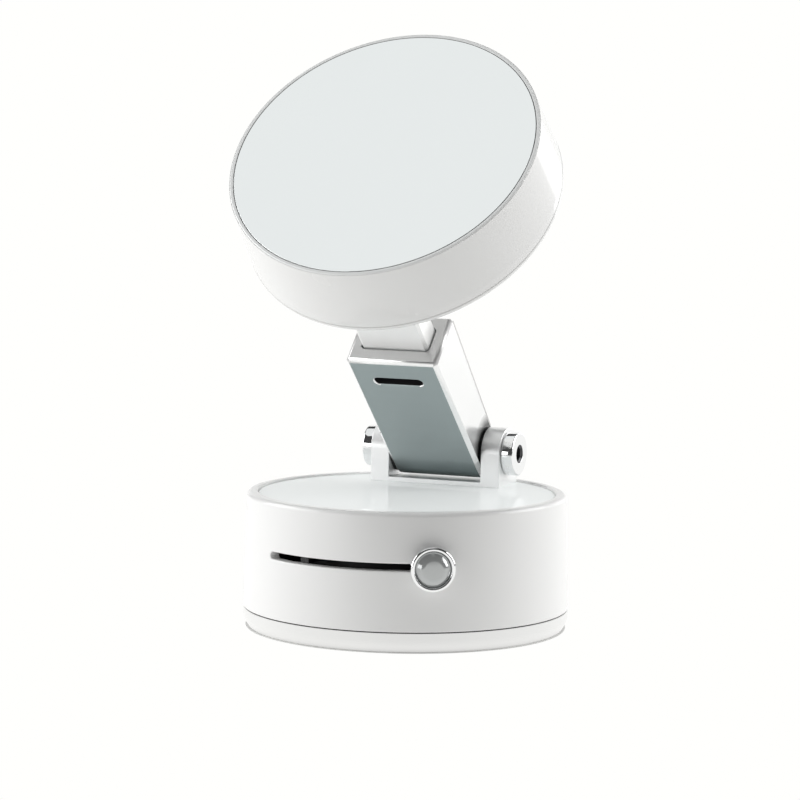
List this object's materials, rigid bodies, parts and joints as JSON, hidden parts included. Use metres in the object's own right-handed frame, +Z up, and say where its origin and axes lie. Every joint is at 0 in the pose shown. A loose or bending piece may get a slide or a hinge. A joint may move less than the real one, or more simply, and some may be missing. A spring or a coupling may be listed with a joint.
{
  "type": "folding vacuum-base mirror stand",
  "caption": "Small folding mirror stand: round tilting mirror head with a magnet ring, telescoping arm on a hinged yoke, and a white vacuum suction base with a sliding lock knob.",
  "frame": {"origin": "centre of the suction pad's underside, on the surface that it sits on", "axes": "+Z up, -Y towards the front that the mirror faces, X along the hinge axes"},
  "size_m": [0.066, 0.0693, 0.1194],
  "materials": {
    "white_gloss": "polished white ABS",
    "plate_gloss": "mirror-polished pale plate",
    "pad_gel": "soft translucent white elastomer",
    "white_metal": "gloss white over zinc alloy",
    "satin_aluminium": "satin anodised silver",
    "bar_metal": "satin white",
    "bezel_metal": "polished edge",
    "chrome": "polished",
    "steel": "bright zinc",
    "brass": "turned",
    "mirror": "silvered glass",
    "knob_lens": "clear lens over grey",
    "dark_plastic": "moulded",
    "grey_plastic": "moulded",
    "foam": "double-sided foam",
    "magnet_plating": "nickel plate"
  },
  "bodies": {
    "base": {"suction_pad": "pad_gel", "chassis_plate": "dark_plastic", "base_screws": "steel", "base_shell": "white_gloss", "top_plate": "plate_gloss", "cam_retainer": "dark_plastic", "retainer_screws": "steel", "guide_bush": "brass", "yoke": "white_metal", "yoke_screws": "steel", "pivot_bolt": "chrome", "pivot_nut": "chrome", "friction_washers": "steel"},
    "plunger": {"plunger_post": "steel", "cross_pin": "steel", "cam_rollers": "dark_plastic", "spring_seat": "steel", "return_spring": "steel"},
    "cam": {"cam_ring": "dark_plastic", "knob_stem": "steel", "stem_screw": "steel", "knob_ring": "chrome", "knob_cap": "knob_lens"},
    "arm": {"arm_sleeve": "satin_aluminium", "pivot_bushes": "dark_plastic", "friction_leaf": "steel"},
    "bar": {"inner_bar": "bar_metal", "bar_glides": "dark_plastic", "hinge_pin": "steel", "hinge_washers": "steel"},
    "head": {"hinge_lug": "bar_metal", "lug_screws": "steel", "back_cover": "white_gloss", "head_casing": "white_gloss", "bezel_ring": "bezel_metal", "mirror_glass": "mirror", "glass_pad": "foam", "magnet_carrier": "grey_plastic", "ring_magnets": "magnet_plating", "shunt_ring": "steel", "cover_screws": "steel"}
  },
  "joints": [
    {"name": "arm_hinge", "type": "hinge", "parent": "base", "child": "arm", "pos_m": [0, 0.01992, 0.03386], "axis": [1, 0, 0], "range_deg": [-37, 20]},
    {"name": "bar_slide", "type": "slide", "parent": "arm", "child": "bar", "axis": [0, -0.712, 0.7022], "range_m": [0, 0.012]},
    {"name": "head_hinge", "type": "hinge", "parent": "bar", "child": "head", "pos_m": [0, -0.01262, 0.06595], "axis": [-1, 0, 0], "range_deg": [-85, 87.5]},
    {"name": "knob_turn", "type": "hinge", "parent": "base", "child": "cam", "pos_m": [0, 0, 0.01685], "axis": [0, 0, 1], "range_deg": [-60.6, 0]},
    {"name": "plunger_lift", "type": "slide", "parent": "base", "child": "plunger", "axis": [0, 0, 1], "range_m": [0, 0.0029], "deforming": ["return_spring"]}
  ],
  "couplings": [
    {"joint": "knob_turn", "follows": "plunger_lift", "rad_per_m": -364.71}
  ]
}
